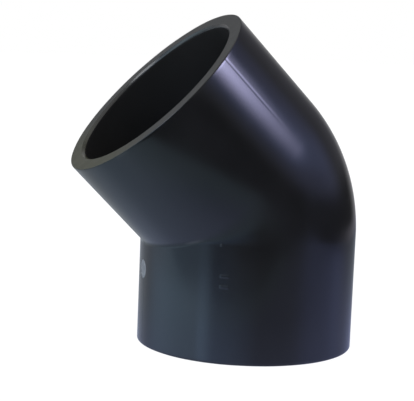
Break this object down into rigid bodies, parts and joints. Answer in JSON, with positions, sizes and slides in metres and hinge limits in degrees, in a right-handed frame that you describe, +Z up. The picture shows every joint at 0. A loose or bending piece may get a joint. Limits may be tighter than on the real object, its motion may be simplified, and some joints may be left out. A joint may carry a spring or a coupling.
{
  "type": "pipe elbow",
  "caption": "Plain 45 degree solvent-weld elbow for pipe or duct in dark PVC, moulded whole, with a smooth socket at either end.",
  "frame": {"origin": "centre of the lower mouth, in the plane of its rim, which the part stands on", "axes": "+Z up along the lower socket's axis, from its mouth into the part; the upper arm leans towards -X, 45 degrees from +Z; the part is symmetric about the XZ plane apart from its small surface marks"},
  "size_m": [0.1734, 0.13, 0.1968],
  "materials": {
    "elbow_pvc": "semi-gloss moulded"
  },
  "bodies": {
    "root": {"elbow_body": "elbow_pvc"}
  },
  "joints": []
}
